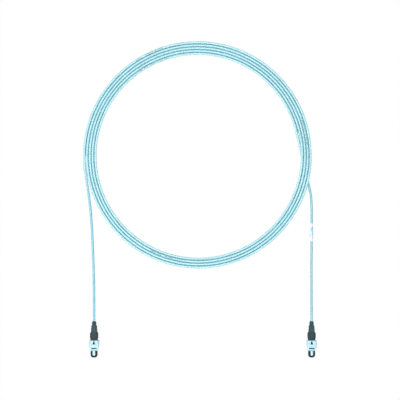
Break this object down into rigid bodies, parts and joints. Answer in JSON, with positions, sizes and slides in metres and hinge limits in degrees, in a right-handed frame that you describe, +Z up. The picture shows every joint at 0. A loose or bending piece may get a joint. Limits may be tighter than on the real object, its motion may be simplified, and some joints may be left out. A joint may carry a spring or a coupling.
{
  "type": "fiber optic patch cord",
  "caption": "Aqua round fibre patch cord wound in a flat coil, with capped push-pull multi-fibre connectors at its ends and a blank wrapped label on a tail.",
  "frame": {"origin": "on the surface the cord rests on, midway between the two connectors", "axes": "+X from the left connector to the right one, +Y from the connectors' noses towards the coil, +Z up"},
  "size_m": [0.287, 0.3882, 0.0078],
  "materials": {
    "jacket": "satin extruded jacket",
    "label_film": "smooth film",
    "boot_rubber": "matte",
    "crimp_brass": "plated",
    "black_plastic": "fine moulded",
    "cap_plastic": "smooth moulded",
    "aqua_plastic": "smooth moulded",
    "ferrule_plastic": "polished glass-filled moulding",
    "fibre_coating": "coated glass fibres",
    "spring_steel": "drawn wire"
  },
  "bodies": {
    "cord": {"cable_coil": "jacket", "cable_tail_a": "jacket", "cable_tail_b": "jacket", "label": "label_film", "boot_a": "boot_rubber", "crimp_ring_a": "crimp_brass", "rear_body_a": "black_plastic", "inner_housing_a": "black_plastic", "key_insert_a": "aqua_plastic", "main_spring_a": "spring_steel", "sleeve_springs_a": "spring_steel", "boot_b": "boot_rubber", "crimp_ring_b": "crimp_brass", "rear_body_b": "black_plastic", "inner_housing_b": "black_plastic", "key_insert_b": "aqua_plastic", "main_spring_b": "spring_steel", "sleeve_springs_b": "spring_steel"},
    "ferrule_unit_a": {"ferrule_a": "ferrule_plastic", "pin_keeper_a": "spring_steel", "ferrule_boot_a": "boot_rubber", "fibre_ribbon_a": "fibre_coating"},
    "sleeve_a": {"coupling_sleeve_a": "aqua_plastic"},
    "cap_a": {"dust_cap_a": "cap_plastic"},
    "ferrule_unit_b": {"ferrule_b": "ferrule_plastic", "pin_keeper_b": "spring_steel", "ferrule_boot_b": "boot_rubber", "fibre_ribbon_b": "fibre_coating"},
    "sleeve_b": {"coupling_sleeve_b": "aqua_plastic"},
    "cap_b": {"dust_cap_b": "cap_plastic"}
  },
  "joints": [
    {"name": "ferrule_float_a", "type": "slide", "parent": "cord", "child": "ferrule_unit_a", "axis": [0, 1, 0], "range_m": [0, 0.0005], "stiffness_N_per_m": 1500, "springref_m": -0.005, "deforming": ["main_spring_a"]},
    {"name": "sleeve_pull_a", "type": "slide", "parent": "cord", "child": "sleeve_a", "axis": [0, 1, 0], "range_m": [0, 0.0015], "stiffness_N_per_m": 900, "springref_m": -0.004, "deforming": ["sleeve_springs_a"]},
    {"name": "cap_pull_a", "type": "slide", "parent": "cord", "child": "cap_a", "axis": [0, -1, 0], "range_m": [0, 0.025]},
    {"name": "ferrule_float_b", "type": "slide", "parent": "cord", "child": "ferrule_unit_b", "axis": [0, 1, 0], "range_m": [0, 0.0005], "stiffness_N_per_m": 1500, "springref_m": -0.005, "deforming": ["main_spring_b"]},
    {"name": "sleeve_pull_b", "type": "slide", "parent": "cord", "child": "sleeve_b", "axis": [0, 1, 0], "range_m": [0, 0.0015], "stiffness_N_per_m": 900, "springref_m": -0.004, "deforming": ["sleeve_springs_b"]},
    {"name": "cap_pull_b", "type": "slide", "parent": "cord", "child": "cap_b", "axis": [0, -1, 0], "range_m": [0, 0.025]}
  ]
}
